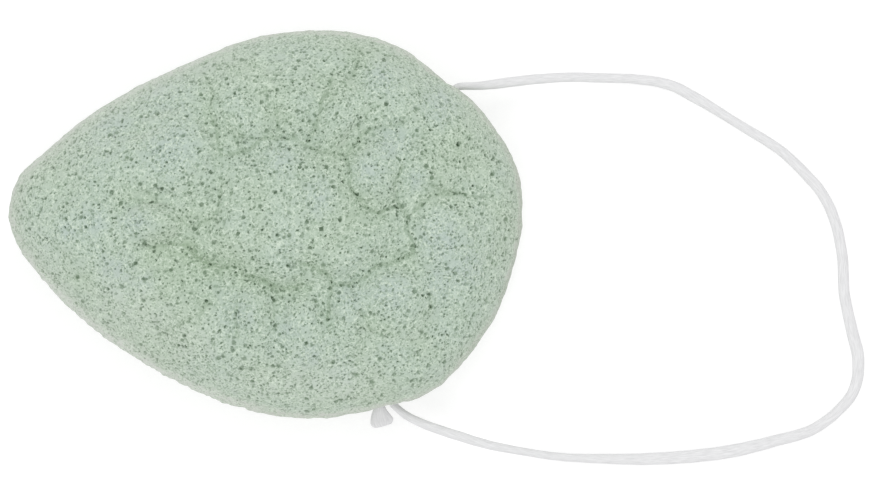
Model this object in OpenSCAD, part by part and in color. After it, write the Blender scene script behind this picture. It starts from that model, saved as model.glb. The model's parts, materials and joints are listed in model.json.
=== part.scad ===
// Teardrop konjac sponge with a hanging cord threaded through its round end.
// The base lies at z = 0 and the foam is centred on the origin; +X points to the round end and the loop.

/* [Sponge] */
// Length of the sponge, from its tip to its round end
sponge_len = 90; // [75:1:105]
// Width of the sponge
sponge_wid = 68; // [58:1:78]
// Height of the crown above the flat base
sponge_high = 25; // [22:0.5:30]
// Height of the level where the sponge is widest
belly_high = 9; // [8:0.25:10.5]
// How far the sides draw in from the widest level to the base
base_inset = 4; // [2:0.25:6]
// Depth of the creases between the puckered lobes of the crown
crease_deep = 2.4; // [1:0.1:4]
// Depth of the main folds, below the creases that they lie in
fold_deep = 1.1; // [0.6:0.05:1.4]
// Distance from the middle of a fold at which it has risen by two thirds
fold_half_wid = 1.9; // [1.6:0.1:3]

/* [Channel] */
// Height of the channel's centre line above the base
channel_high = 6.5; // [6:0.25:7.5]
// Running clearance between the cord and the foam, on the radius
channel_gap = 0.05; // [0.02:0.01:0.1]
// Depth of the funnel at the rear mouth
funnel_deep = 2.2; // [1.8:0.1:3]
// Radius of the funnel where it meets the side
funnel_rad = 3.6; // [3.4:0.1:3.8]
// Room between the knot and the wall of the pocket that it sits in
pocket_gap = 1.4; // [1.2:0.1:1.8]

/* [Cord] */
// Diameter of the cord
cord_dia = 1.5; // [1.3:0.05:1.6]
// Diameter of the cord where the knot squeezes it
knot_dia = 1.2; // [1:0.05:1.3]
// Radius of the cord's bend just outside each mouth
bend_rad = 1.6; // [1.4:0.05:2]
// Length of cord that runs straight before each bend
bend_lead = 0.8; // [0.6:0.05:1.2]

/* [Knot] */
// Turns that the cord's end makes round the loop's strand
knot_turns = 2; // [1:1:3]
// Gap between one turn and the next
turn_gap = 0.15; // [0.1:0.01:0.3]
// Gap between the turns and the strand inside them
core_gap = 0.05; // [0.03:0.01:0.1]
// Depth of the outermost turn behind the front mouth
knot_deep = 1.6; // [1.4:0.1:2.2]
// Width of the flared cut end
tail_wid = 3.8; // [2.6:0.1:4.2]
// Thickness of the flared cut end
tail_thick = 0.8; // [0.6:0.05:1]

/* [Hidden] */
$fn = 64;

// Cuts run this far past the faces that they open
overrun = 3;
// The foam is formed this much deeper than its base, and then cut flat
base_trim = 0.5;

// Outline of the foam from above, as shares of its length and width, from the round end past the rear,
// and the steps of its smooth curve from one point to the next
outline_shares = [
    [0.5, 0.03], [0.487, 0.157], [0.422, 0.292], [0.346, 0.378], [0.25, 0.464],
    [0.127, 0.5], [-0.006, 0.487], [-0.124, 0.432], [-0.318, 0.306], [-0.45, 0.158],
    [-0.497, 0.057], [-0.497, -0.01], [-0.452, -0.117], [-0.316, -0.288], [-0.125, -0.435],
    [0.064, -0.5], [0.25, -0.464], [0.346, -0.408], [0.44, -0.254], [0.485, -0.1],
];
outline_steps = 3;

// Rings of the crown, as shares of the way from its middle to the widest level
crown_ring_shares = [
    0.06, 0.12, 0.18, 0.23, 0.28, 0.33, 0.38, 0.43, 0.48, 0.53, 0.58,
    0.63, 0.68, 0.73, 0.78, 0.83, 0.88, 0.92, 0.955, 0.982, 1,
];
// Angles of the rings below the widest level, from level to straight down
under_angles = [35, 65, 90];
// The middle of the rings, as a share of the foam's length
hub_share = 0.05;

// Puckered lobes of the crown: place, half length and half width as shares of the foam's, then their turn
lobe_shares = [
    [0.068, 0.018, 0.185, 0.18, 0], [0.22, 0.134, 0.055, 0.088, 0], [0.335, 0.157, 0.075, 0.072, 20],
    [0.365, -0.036, 0.088, 0.108, 0], [0.26, -0.211, 0.07, 0.098, 0], [0.158, -0.242, 0.037, 0.103, 8],
    [0.072, -0.294, 0.055, 0.12, 0], [-0.018, -0.273, 0.047, 0.118, 0], [-0.113, -0.312, 0.062, 0.088, 20],
    [-0.224, -0.19, 0.094, 0.088, -35], [-0.345, -0.028, 0.113, 0.093, 0], [-0.214, 0.005, 0.058, 0.052, 0],
    [-0.287, 0.134, 0.097, 0.088, 30], [-0.17, 0.19, 0.07, 0.113, 0], [-0.039, 0.327, 0.066, 0.119, 10],
    [0.062, 0.325, 0.047, 0.113, 0], [0.142, 0.289, 0.039, 0.103, -8], [0.263, 0.34, 0.086, 0.098, -25],
    [0.39, 0.25, 0.07, 0.08, 0],
];

// Main folds of the crown: the share of the full depth, then the fold's line as shares of the foam's sizes
fold_shares = [
    [0.8, [[-0.22, -0.06], [-0.181, -0.05], [-0.149, -0.054]]],
    [1, [[-0.149, -0.054], [-0.138, -0.075], [-0.101, -0.107], [-0.05, -0.112], [-0.042, -0.134]]],
    [1, [[-0.042, -0.134], [-0.027, -0.131], [0.038, -0.165], [0.069, -0.157]]],
    [0.9, [[0.073, -0.107], [0.092, -0.104], [0.124, -0.138], [0.129, -0.154], [0.121, -0.249]]],
    [0.9, [[0.129, -0.154], [0.168, -0.154], [0.216, -0.107], [0.24, -0.101], [0.283, -0.071]]],
    [0.9, [[0.283, -0.071], [0.287, -0.05], [0.278, 0.024], [0.256, 0.066], [0.263, 0.15]]],
    [0.8, [[0.157, 0.171], [0.168, 0.097], [0.2, 0.04], [0.223, 0.029], [0.263, 0.046]]],
    [0.8, [[-0.07, 0.179], [-0.03, 0.191], [-0.01, 0.213], [0.057, 0.224], [0.073, 0.203], [0.117, 0.184],
        [0.157, 0.182]]],
    [0.8, [[0.157, 0.182], [0.196, 0.24], [0.263, 0.26]]],
    [0.7, [[0.132, 0.371], [0.109, 0.318], [0.104, 0.276], [0.084, 0.213]]],
    [0.5, [[0.184, 0.449], [0.168, 0.375]]],
    [0.6, [[-0.112, 0.374], [-0.101, 0.318], [-0.106, 0.287], [-0.086, 0.176]]],
    [0.5, [[-0.073, 0.265], [-0.05, 0.193]]],
    [0.6, [[-0.081, 0.1], [-0.106, 0.013], [-0.129, -0.003], [-0.153, 0.003]]],
    [0.5, [[0.322, 0.103], [0.362, 0.082]]],
    [0.4, [[-0.256, 0.06], [-0.189, 0.04]]],
    [0.5, [[-0.197, -0.285], [-0.126, -0.228], [-0.109, -0.203]]],
    [0.4, [[-0.058, -0.215], [-0.053, -0.29]]],
    [0.4, [[0.018, -0.194], [0.021, -0.278]]],
    [0.4, [[0.322, -0.179], [0.319, -0.231]]],
];

// Mouths of the channel on the foam's side, as shares of its length and width
front_mouth_share = [0.243, -0.47];
rear_mouth_share = [0.367, 0.361];

channel_rad = cord_dia / 2 + channel_gap;
front_mouth = [front_mouth_share.x * sponge_len, front_mouth_share.y * sponge_wid];
rear_mouth = [rear_mouth_share.x * sponge_len, rear_mouth_share.y * sponge_wid];
channel_len = norm(rear_mouth - front_mouth);
channel_turn = atan2(rear_mouth.x - front_mouth.x, rear_mouth.y - front_mouth.y);

// The knot's turns lie round the channel's centre line, in the pocket behind the front mouth
wind_rad = knot_dia + core_gap;
turn_pitch = knot_dia + turn_gap;
knot_in = knot_deep + knot_turns * turn_pitch;
ramp_len = 0.75 * knot_dia;
knot_end = knot_in + ramp_len + knot_dia;
pocket_deep = knot_in + ramp_len + knot_dia / 2;
pocket_rad = wind_rad + knot_dia / 2 + pocket_gap;
// Rings in each of the knot's turns
turn_rings = 12;
// Sides of the cord's tube, and of the knot's thinner one
cord_sides = 8;
knot_sides = 6;
// The way that the cord heads as it leaves the last turn: to the side, inward and down
knot_leave = unit([-2 * PI * wind_rad, -turn_pitch, 0]);

// Route of the loop from the rear mouth round to the front one: x, y, and the height as a share of
// the way from lying on the ground to the channel's level
loop_route = [
    [38, 24.9, 0.97], [42, 25, 0.88], [47, 25.5, 0.68], [53, 25.9, 0.42], [59, 25.8, 0.2],
    [65, 25.6, 0.06], [71, 24.6, 0], [76, 22.1, 0], [83, 17.8, 0], [90.5, 13.1, 0],
    [94.5, 9.4, 0], [98, 5.3, 0], [100.2, 0.5, 0], [101.5, -6, 0], [101.8, -12, 0],
    [103, -18, 0], [104.3, -24, 0], [103.5, -29.2, 0], [100.5, -33, 0], [96, -36.2, 0],
    [90, -38, 0], [82, -39.9, 0], [74, -40.9, 0], [66, -41.3, 0], [58, -41.2, 0.02],
    [51.8, -40.9, 0.09], [45, -39.9, 0.24], [39, -38.7, 0.46], [34, -37.2, 0.68], [29.2, -35.7, 0.87],
    [26.2, -34.9, 0.97], [24.3, -34.2, 1],
];
// Angles that the loop bends through outside the rear and the front mouth
rear_bend_angle = 50;
front_bend_angle = 85;

// Route of the tail from the end of the knot's last turn: to the side, inward and down
tail_route = [
    [-0.6, -0.5, 0], [-0.7, -1.2, 0.05], [-0.6, -1.9, 0.15], [-0.4, -2.7, 0.35],
    [-0.2, -3.5, 0.6], [0.1, -4.4, 0.9], [0.4, -5.3, 1.2],
];

function unit(v) = v / norm(v);
function mix(a, b, t) = a + (b - a) * t;

// Smooth curve from b to c, with a before them and d after them
function spline(a, b, c, d, t) =
    (2 * b + (c - a) * t + (2 * a - 5 * b + 4 * c - d) * t * t + (3 * b - a - 3 * c + d) * t * t * t) / 2;

function closed_curve(points, steps) = [
    for (i = [0 : len(points) - 1], k = [0 : steps - 1])
        let (n = len(points))
        spline(points[(i + n - 1) % n], points[i], points[(i + 1) % n], points[(i + 2) % n], k / steps)
];

function open_curve(points, steps) = [
    for (i = [0 : len(points) - 2], k = [0 : steps - 1])
        spline(points[max(i - 1, 0)], points[i], points[i + 1], points[min(i + 2, len(points) - 1)], k / steps),
    points[len(points) - 1],
];

// Outline points brought to exactly the foam's length and width about the origin
function fitted(points) =
    let (xs = [for (p = points) p.x], ys = [for (p = points) p.y])
    [for (p = points) [
        ((p.x - min(xs)) / (max(xs) - min(xs)) - 1 / 2) * sponge_len,
        ((p.y - min(ys)) / (max(ys) - min(ys)) - 1 / 2) * sponge_wid,
    ]];

// How deep inside a lobe a place lies: 1 at its middle, 0 on its rim, less outside
function lobe_depth(lobe, x, y) =
    let (dx = x - lobe[0], dy = y - lobe[1])
    let (u = (dx * cos(lobe[4]) + dy * sin(lobe[4])) / lobe[2])
    let (v = (dy * cos(lobe[4]) - dx * sin(lobe[4])) / lobe[3])
    1 - u * u - v * v;

// Distance from a place to the stretch between two points
function stretch_away(p, a, b) =
    let (share = min(max((p - a) * (b - a) / ((b - a) * (b - a)), 0), 1))
    norm(p - mix(a, b, share));

// Distance from a place to a fold's line
function fold_away(p, line) =
    let (points = [for (q = line) [q.x * sponge_len, q.y * sponge_wid]])
    min([for (i = [0 : len(points) - 2]) stretch_away(p, points[i], points[i + 1])]);

// How deep the folds are at a place, as a share of their full depth
function fold_depth(p) =
    max([for (fold = fold_shares) fold[0] * exp(-pow(fold_away(p, fold[1]) / fold_half_wid, 2))]);

// How far the creases and folds sink the crown at a place, less towards the widest level; a fold adds half
// as much where the crease is at its deepest
function crease(x, y, t) =
    let (depth = max([for (lobe = lobe_shares) lobe_depth(lobe, x / sponge_len, y / sponge_wid)]))
    let (sunk = 1 - sqrt(max(depth, 0)))
    (crease_deep * sunk + fold_deep * fold_depth([x, y]) * (1 - sunk / 2)) * (1 - pow(t, 4));

function crown_z(t) = belly_high + (sponge_high - belly_high) * sqrt(1 - pow(t, 3));

// Points of a tube along a path, with the way up, a half width and a half thickness at each of its points
function tube_points(path, ups, wide, thick, sides) = [
    for (i = [0 : len(path) - 1], k = [0 : sides - 1])
        let (ahead = unit(path[min(i + 1, len(path) - 1)] - path[max(i - 1, 0)]))
        let (up = unit(ups[i] - ahead * (ups[i] * ahead)))
        let (side = cross(ahead, up), a = (k + 1 / 2) * 360 / sides)
        path[i] + side * wide[i] * cos(a) + up * thick[i] * sin(a)
];

function tube_faces(rings, sides) = concat(
    [for (i = [0 : rings - 2], k = [0 : sides - 1])
        let (a = i * sides + k, b = i * sides + (k + 1) % sides)
        each [[a, b, b + sides], [a, b + sides, a + sides]]],
    [[for (k = [sides - 1 : -1 : 0]) k]],
    [[for (k = [0 : sides - 1]) (rings - 1) * sides + k]]
);

// A place given from the front mouth: to the side, inward along the channel, and down
function at_channel(side, inward, down) =
    [front_mouth.x, front_mouth.y, channel_high]
    + side * [cos(channel_turn), -sin(channel_turn), 0]
    + inward * [sin(channel_turn), cos(channel_turn), 0]
    - down * [0, 0, 1];

// Turns the channel's own frame, with z inward along it and y down, to its place in the foam
module along_channel() {
    translate([front_mouth.x, front_mouth.y, channel_high])
        rotate([0, 0, -channel_turn])
            rotate([-90, 0, 0])
                children();
}

module tube(path, ups, wide, thick, sides) {
    polyhedron(tube_points(path, ups, wide, thick, sides), tube_faces(len(path), sides), convexity = 6);
}

// The teardrop form: puckered crown, round belly and drawn-in sides
module foam_form() {
    edge = fitted(closed_curve(outline_shares, outline_steps));
    hub = [hub_share * sponge_len, 0];
    count = len(edge);
    crown_rings = [for (t = crown_ring_shares, p = edge)
        let (q = mix(hub, p, t))
        [q.x, q.y, crown_z(t) - crease(q.x, q.y, t)]];
    under_rings = [for (a = under_angles, p = edge)
        let (inset = base_inset * (1 - cos(a)))
        let (q = p - inset * unit(p - hub))
        [q.x, q.y, belly_high - (belly_high + base_trim) * sin(a)]];
    rings = concat(crown_rings, under_rings);
    last = len(rings) - count;
    points = concat(
        rings,
        [[hub.x, hub.y, crown_z(0) - crease(hub.x, hub.y, 0)], [hub.x, hub.y, -base_trim]]
    );
    walls = [for (i = [0 : len(rings) / count - 2], k = [0 : count - 1])
        let (a = i * count + k, b = i * count + (k + 1) % count)
        each [[a, a + count, b + count], [a, b + count, b]]];
    top = [for (k = [0 : count - 1]) [k, (k + 1) % count, len(rings)]];
    bottom = [for (k = [0 : count - 1]) [last + (k + 1) % count, last + k, len(rings) + 1]];
    polyhedron(points, concat(walls, top, bottom), convexity = 8);
}

// The needle's channel with the funnel at its rear mouth and the knot's pocket at its front one
module channel_cut() {
    taper = (funnel_rad - channel_rad) / funnel_deep;
    translate([0, 0, -overrun])
        cylinder(r = pocket_rad, h = pocket_deep + overrun);
    cylinder(r = channel_rad, h = channel_len);
    translate([0, 0, channel_len - funnel_deep])
        cylinder(r1 = channel_rad, r2 = funnel_rad + taper * overrun, h = funnel_deep + overrun);
}

module sponge_body() {
    color([0.7, 0.77, 0.7])
        difference() {
            foam_form();
            translate([-sponge_len, -sponge_wid, -base_trim - overrun])
                cube([2 * sponge_len, 2 * sponge_wid, base_trim + overrun]);
            along_channel()
                channel_cut();
        }
}

// The stretch of cord inside the foam, which turns in the channel as the loop's pin
module cord_channel_run() {
    color([0.9, 0.9, 0.92])
        along_channel()
            translate([0, 0, knot_end])
                cylinder(d = cord_dia, h = channel_len - bend_lead * 2 - knot_end);
}

// The cord's end leaves the channel run, spreads to the turns and runs off square to the last one
module cord_knot() {
    spread = turn_rings / 2;
    rings = spread + knot_turns * turn_rings;
    angles = [for (i = [0 : rings]) 90 - 360 * (rings - i) / turn_rings];
    winding = [for (i = [0 : rings])
        let (out = min(i / spread, 1), on = max(i - spread, 0) / (rings - spread))
        let (rad = wind_rad * out, deep = knot_in + ramp_len * (1 - out) - (knot_in - knot_deep) * on)
        [rad * cos(angles[i]), rad * sin(angles[i]), deep]];
    off = winding[rings] + knot_dia * [knot_leave.x, 0, knot_leave.y];
    path = concat([[0, 0, knot_end]], winding, [off]);
    ups = [for (a = concat([angles[0]], angles, [angles[rings]])) [cos(a), sin(a), 0]];
    half = [for (p = path) knot_dia / 2];
    color([0.9, 0.9, 0.92])
        along_channel()
            tube(path, ups, half, half, knot_sides);
}

// The cut end, squeezed round at the knot and splayed flat at the cut
module cord_tail() {
    start = [0, knot_deep, wind_rad] + knot_dia * knot_leave;
    route = concat([start + knot_dia / 3 * knot_leave], [for (p = tail_route) start + p]);
    path = [for (p = concat([start], open_curve(route, 2))) at_channel(p.x, p.y, p.z)];
    along = [for (i = [0 : len(path) - 1]) i / (len(path) - 1)];
    wide = [for (t = along) mix(knot_dia, tail_wid, pow(t, 2)) / 2];
    thick = [for (t = along) mix(knot_dia, tail_thick, t) / 2];
    color([0.88, 0.89, 0.9])
        tube(path, [for (p = path) [0, 0, 1]], wide, thick, cord_sides);
}

// The free loop, from the rear mouth round to the strand that the knot's turns hold
module cord_loop() {
    rear_start = channel_len - bend_lead * 2;
    rear_bend = [for (t = [0 : 1 / 4 : 1])
        let (a = rear_bend_angle * t)
        at_channel(bend_rad * (1 - cos(a)), channel_len - bend_lead + bend_rad * sin(a), 0)];
    front_bend = [for (t = [1 : -1 / 5 : 0])
        let (a = front_bend_angle * t)
        at_channel(bend_rad * (1 - cos(a)), bend_lead / 2 - bend_rad * sin(a), 0)];
    free = [for (p = loop_route) [p.x, p.y, mix(cord_dia / 2, channel_high, p.z)]];
    bent_in = rear_bend[len(rear_bend) - 1];
    bent_out = front_bend[0];
    curve = open_curve(concat([bent_in], free, [bent_out]), 2);
    core = [at_channel(0, knot_deep - knot_dia / 2, 0), at_channel(0, knot_in - knot_dia / 2, 0)];
    path = concat([at_channel(0, rear_start, 0)], rear_bend, [for (i = [1 : len(curve) - 2]) curve[i]],
        front_bend, core);
    half = concat([for (i = [1 : len(path) - 2]) cord_dia / 2], [knot_dia / 2, knot_dia / 2]);
    color([0.9, 0.9, 0.92])
        tube(path, [for (p = path) [0, 0, 1]], half, half, cord_sides);
}

sponge_body();
cord_channel_run();
cord_knot();
cord_tail();
cord_loop();
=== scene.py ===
import itertools
import json
import math

import bpy
import numpy as np
from mathutils import Euler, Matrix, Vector


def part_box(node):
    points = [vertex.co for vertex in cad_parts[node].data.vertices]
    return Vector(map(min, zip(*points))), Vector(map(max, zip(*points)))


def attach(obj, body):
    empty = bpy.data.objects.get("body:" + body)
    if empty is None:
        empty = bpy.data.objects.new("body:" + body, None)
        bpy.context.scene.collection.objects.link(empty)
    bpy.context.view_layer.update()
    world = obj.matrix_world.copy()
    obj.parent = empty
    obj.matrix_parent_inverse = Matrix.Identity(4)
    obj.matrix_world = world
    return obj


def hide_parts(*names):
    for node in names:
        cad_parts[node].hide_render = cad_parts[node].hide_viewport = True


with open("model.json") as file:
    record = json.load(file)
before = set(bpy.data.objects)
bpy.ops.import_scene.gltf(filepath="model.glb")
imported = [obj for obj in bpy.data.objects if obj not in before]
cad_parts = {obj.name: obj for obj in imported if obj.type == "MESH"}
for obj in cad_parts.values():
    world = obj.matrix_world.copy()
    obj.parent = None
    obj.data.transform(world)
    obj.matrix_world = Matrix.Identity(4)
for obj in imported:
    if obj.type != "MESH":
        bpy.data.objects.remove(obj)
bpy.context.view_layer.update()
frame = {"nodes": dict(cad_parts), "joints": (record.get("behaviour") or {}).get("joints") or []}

MM = 0.001
foam_low, foam_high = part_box("sponge_body")

# Camera: straight above, as the photograph is taken
# The foam spans this many of the photograph's pixels, and its middle lies at this pixel
FOAM_SPAN_PX = 513
FOAM_MIDDLE_PX = (265.5, 224.5)
IMAGE_PX = (870, 489)
CAMERA_HEIGHT = 2.2
SENSOR = 36.0
BELLY_HEIGHT = 9 * MM

pixel = (foam_high.x - foam_low.x) / FOAM_SPAN_PX
bpy.ops.object.camera_add(
    location=(
        (IMAGE_PX[0] / 2 - FOAM_MIDDLE_PX[0]) * pixel,
        (FOAM_MIDDLE_PX[1] - IMAGE_PX[1] / 2) * pixel,
        CAMERA_HEIGHT,
    ),
    rotation=(0, 0, 0),
)
camera = bpy.context.object
camera.data.sensor_width = SENSOR
camera.data.lens = SENSOR * (CAMERA_HEIGHT - BELLY_HEIGHT) / (IMAGE_PX[0] * pixel)
camera.data.clip_start = 0.1
camera.data.clip_end = 30
bpy.context.scene.camera = camera


# Shares, each from 0 to 1
def eased(t):
    """The same share, but with a level start and end."""
    return t * t * (3 - 2 * t)


def ramp_to(values, low, high):
    """A share that goes smoothly from 0 at low to 1 at high."""
    return eased(np.clip((values - low) / (high - low), 0, 1))


def within(values, start, full, fading, gone):
    """A share that rises from start to full and falls back from fading to gone."""
    return ramp_to(values, start, full) * ramp_to(values, gone, fading)


def bell(away, radius, power=2):
    """A share that is 1 in the middle and fades out past the radius."""
    return np.exp(-((away / radius) ** power))


# Work on a piece
def select_only(piece):
    bpy.ops.object.select_all(action="DESELECT")
    piece.select_set(True)
    bpy.context.view_layer.objects.active = piece


def apply_modifier(piece, name, kind, **settings):
    select_only(piece)
    modifier = piece.modifiers.new(name, kind)
    for key, value in settings.items():
        setattr(modifier, key, value)
    bpy.ops.object.modifier_apply(modifier=name)


def vertex_values(mesh, what):
    """The places (co) or the normals (vector) of a mesh's vertices."""
    values = np.empty(len(mesh.vertices) * 3, np.float32)
    (mesh.vertices if what == "co" else mesh.vertex_normals).foreach_get(what, values)
    return values.reshape(-1, 3).astype(float)


def place_vertices(mesh, points):
    mesh.vertices.foreach_set("co", points.astype(np.float32).ravel())
    mesh.update()


# Materials
def linear(code):
    """An sRGB hex colour as the linear colour that a shader takes."""
    parts = [int(code[i:i + 2], 16) / 255 for i in (1, 3, 5)]
    lit = [c / 12.92 if c <= 0.04045 else ((c + 0.055) / 1.055) ** 2.4 for c in parts]
    return (*lit, 1.0)


def add_node(tree, kind, sockets=None, **options):
    """Adds a node with its options, and gives each of its sockets a value or another's output."""
    node = tree.nodes.new(kind)
    for name, value in options.items():
        setattr(node, name, value)
    for name, source in (sockets or {}).items():
        if isinstance(source, bpy.types.NodeSocket):
            tree.links.new(source, node.inputs[name])
        else:
            node.inputs[name].default_value = source
    return node


def new_material(name):
    material = bpy.data.materials.new(name)
    material.use_nodes = True
    material.node_tree.nodes.clear()
    return material, material.node_tree


# The noises' own grid is turned by these angles, so that level foam shows no rows
ASKEW = (0.6, 0.5, 0.3)
# Distances between the foam's cell walls and between its small bubbles
CELL = 0.9 * MM
SMALL_BUBBLE = 0.5 * MM
# How far the cell walls waver
WAVER = 0.3 * MM
# The foam's noises: about how wide their lumps are, and their detail
FOAM_NOISES = [
    ("patches", 9 * MM, 2), ("thickness", 1.2 * MM, 3), ("wavering", CELL, 2),
    ("light", 0.7 * MM, 1), ("grain", 0.3 * MM, 2), ("smoothness", 1.8 * MM, 1),
]
# Shares of the foam's colours: the pattern, where it starts, where it is full, and how much then
# The small bubbles' share paints shade into them as darker spots
FOAM_SHARES = [
    ("patch", "patches", 0.35, 0.65, 1), ("thick", "thickness", 0.5, 0.75, 0.3),
    ("thin", "thickness", 0.5, 0.25, 0.35), ("wall", "cells", 0.14, 0.03, 0.8),
    ("lit", "light", 0.4, 0.6, 1), ("pale_grain", "grain", 0.5, 0.7, 0.42),
    ("dark_grain", "grain", 0.5, 0.3, 0.42), ("painted_bubble_shade", "small_bubbles", 0.42, 0.2, 0.55),
    ("smooth", "smoothness", 0.54, 0.66, 0.75),
]
# Colours laid over the foam's first green in this order. The hollows', the small bubbles' and the
# pores' colours are painted shade, the rim's is painted light, and the grey over the skin towards
# the cord's end is painted shade. Where a closed wall lies smooth, the colour is the one that the
# grey skin's painted shade left, before any cell shows
FOAM_GREEN = "#B5C5B3"
FOAM_COLOURS = [
    ("patch", "#B6C6B9"), ("blue", "#B4C3BD"), ("hollow_and_painted_shade", "#9FB398"), ("rim", "#CAD2C7"),
    ("skin", "#D4D7D1"), ("painted_shade_on_skin", "#BDC0B5"), ("thick", "#CAD9C8"), ("thin", "#93A990"),
    ("lit_wall", "#D3E0D0"), ("pale_grain", "#CFDECB"), ("dark_grain", "#8CA189"),
    ("painted_bubble_shade", "#879D84"), ("smooth", "painted_shade_on_skin"), ("painted_pore_shade", "#6F856C"),
]
FOAM_MARKS = ["blue", "hollow_and_painted_shade", "rim", "skin", "painted_shade_on_skin", "painted_pore_shade"]


def konjac_foam():
    """Dried konjac foam, frozen and thawed in a mould: matte, grey-green, riddled with open bubbles
    whose floors are painted darker than their walls as shade, bluer on its swellings and yellower
    in its creases, which are painted darker as shade too. Its rim is painted paler as light, and
    its skin greyer towards the cord's end as painted shade."""
    material, tree = new_material("konjac_foam")
    where = add_node(tree, "ShaderNodeTexCoord").outputs["Object"]
    turned = add_node(
        tree, "ShaderNodeMapping", {"Vector": where, "Rotation": ASKEW}
    ).outputs["Vector"]
    patterns = {}
    for name, size, detail in FOAM_NOISES:
        noise = add_node(
            tree, "ShaderNodeTexNoise", {"Vector": turned, "Scale": 1 / size, "Detail": detail}
        )
        patterns[name] = noise.outputs["Color" if name == "wavering" else "Fac"]
    bent = add_node(
        tree,
        "ShaderNodeMixRGB",
        {"Fac": WAVER, "Color1": turned, "Color2": patterns["wavering"]},
        blend_type="LINEAR_LIGHT",
    ).outputs["Color"]
    # The small bubbles are cut open anywhere between their middle and their edge
    for name, size, feature in (
        ("cells", CELL, "DISTANCE_TO_EDGE"),
        ("small_bubbles", SMALL_BUBBLE, "F1"),
    ):
        patterns[name] = add_node(
            tree, "ShaderNodeTexVoronoi", {"Vector": bent, "Scale": 1 / size}, feature=feature
        ).outputs["Distance"]

    shares = {}
    for mark in FOAM_MARKS:
        shares[mark] = add_node(tree, "ShaderNodeAttribute", attribute_name=mark).outputs["Fac"]
    for name, pattern, start, full, much in FOAM_SHARES:
        limits = {"From Min": start, "From Max": full, "To Min": 0, "To Max": much}
        shares[name] = add_node(
            tree, "ShaderNodeMapRange", {"Value": patterns[pattern], **limits}
        ).outputs["Result"]
    # The cell walls catch the light here and there
    shares["lit_wall"] = add_node(
        tree, "ShaderNodeMath", {0: shares["wall"], 1: shares["lit"]}, operation="MULTIPLY"
    ).outputs[0]
    green = linear(FOAM_GREEN)
    laid = {}
    for name, colour in FOAM_COLOURS:
        over = laid[colour] if colour in laid else linear(colour)
        green = laid[name] = add_node(
            tree, "ShaderNodeMix", {0: shares[name], 6: green, 7: over}, data_type="RGBA"
        ).outputs[2]

    bump = add_node(
        tree, "ShaderNodeBump", {"Height": patterns["grain"], "Strength": 0.5, "Distance": 0.1 * MM}
    )
    surface = add_node(
        tree,
        "ShaderNodeBsdfPrincipled",
        {
            "Base Color": green,
            "Normal": bump.outputs["Normal"],
            "Roughness": 0.88,
            "Specular IOR Level": 0.25,
        },
    )
    add_node(tree, "ShaderNodeOutputMaterial", {"Surface": surface.outputs["BSDF"]})
    return material


# Fibres of the string for each millimetre across it and along it, and their slant in degrees
FIBRES = (6.5, 0.5, 1)
FIBRE_SLANT = 22


def cotton_string():
    """Bleached cotton string, softly spun: white, matte, with fibres that wind slowly round it."""
    material, tree = new_material("bleached_cotton_string")
    lie = add_node(tree, "ShaderNodeUVMap", uv_map="lie").outputs["UV"]
    slant = add_node(
        tree,
        "ShaderNodeMapping",
        {"Vector": lie, "Rotation": (0, 0, math.radians(FIBRE_SLANT)), "Scale": FIBRES},
    )
    fibres = add_node(
        tree, "ShaderNodeTexNoise", {"Vector": slant.outputs["Vector"], "Scale": 1.0, "Detail": 3}
    ).outputs["Fac"]
    shade = add_node(tree, "ShaderNodeValToRGB", {"Fac": fibres})
    stops = shade.color_ramp.elements
    for stop, position, colour in zip(stops, (0.3, 0.65), ("#D7D7D8", "#E9E9EA")):
        stop.position = position
        stop.color = linear(colour)
    bump = add_node(
        tree, "ShaderNodeBump", {"Height": fibres, "Strength": 0.4, "Distance": 0.08 * MM}
    )
    surface = add_node(
        tree,
        "ShaderNodeBsdfPrincipled",
        {
            "Base Color": shade.outputs["Color"],
            "Normal": bump.outputs["Normal"],
            "Roughness": 0.8,
            "Specular IOR Level": 0.3,
            "Sheen Weight": 0.15,
        },
    )
    add_node(tree, "ShaderNodeOutputMaterial", {"Surface": surface.outputs["BSDF"]})
    return material


GROUND_GLOW = 0.62


def white_ground():
    """A plain white ground, which the camera sees nearly white while it still takes the shadow."""
    material, tree = new_material("white_ground")
    rays = add_node(tree, "ShaderNodeLightPath").outputs
    looked_at = add_node(
        tree,
        "ShaderNodeMath",
        {0: rays["Is Camera Ray"], 1: rays["Is Glossy Ray"]},
        operation="MAXIMUM",
    ).outputs[0]
    lit = add_node(tree, "ShaderNodeBsdfDiffuse", {"Color": linear("#B4B4B4")})
    glow = add_node(
        tree, "ShaderNodeEmission", {"Color": linear("#FFFFFF"), "Strength": GROUND_GLOW}
    )
    both = add_node(tree, "ShaderNodeAddShader", {0: lit.outputs[0], 1: glow.outputs[0]})
    plain = add_node(tree, "ShaderNodeBsdfDiffuse", {"Color": linear("#F2F2F2")})
    chosen = add_node(
        tree, "ShaderNodeMixShader", {0: looked_at, 1: plain.outputs[0], 2: both.outputs[0]}
    )
    add_node(tree, "ShaderNodeOutputMaterial", {"Surface": chosen.outputs[0]})
    return material


# Cord
CORD = 1.5 * MM
CHANNEL_LENGTH = 57.6 * MM
CHANNEL_RADIUS = CORD / 2 + 0.05 * MM
# The loop's bends at its two mouths: radius, lead in the channel, angles in degrees, and points
BEND = 1.6 * MM
BEND_LEAD = 0.8 * MM
REAR_BEND_ANGLE = 72
FRONT_BEND_ANGLE = 58
BEND_POINTS = 6
# Half the string's thickness where it is round, and its half width there as the route's table
# counts it. Where it is wider, it is thinner by this share of the difference
ROUND_HALF = 0.62 * MM
UNSQUEEZED_HALF = 0.8 * MM
THINNING = 0.4
# The string lies by its underside where its middle is less than this above a lying string's
LYING_WITHIN = 2 * MM
# The loop's ends are round, and its width swings by this much over bumps of this length
ROUND_END = 6 * MM
WIDTH_SWING = 0.04 * MM
WIDTH_BUMP = 7 * MM
WIDTH_SEED = 4
BLUR_STEPS = 6
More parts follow.
